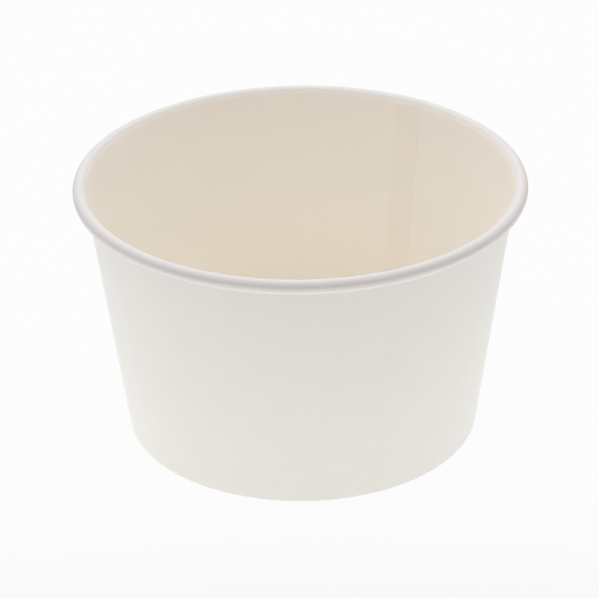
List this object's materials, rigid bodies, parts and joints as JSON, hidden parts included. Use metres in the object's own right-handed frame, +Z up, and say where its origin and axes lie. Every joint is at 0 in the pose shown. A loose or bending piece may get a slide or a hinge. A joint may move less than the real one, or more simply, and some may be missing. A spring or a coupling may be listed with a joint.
{
  "type": "paper food cup",
  "caption": "Round tapered food cup of coated paperboard with a rolled rim, a lap seam down the wall and a raised bottom disc held in a folded hem.",
  "frame": {"origin": "centre of the base, on the surface that the cup stands on", "axes": "+Z up, along the cup's axis; the lap seam is on the +X +Y side, 53 to 61 degrees from +X"},
  "size_m": [0.115, 0.115, 0.0683],
  "materials": {
    "wall_board": "satin",
    "disc_board": "satin"
  },
  "bodies": {
    "root": {"side_wall": "wall_board", "bottom_disc": "disc_board"}
  },
  "joints": []
}
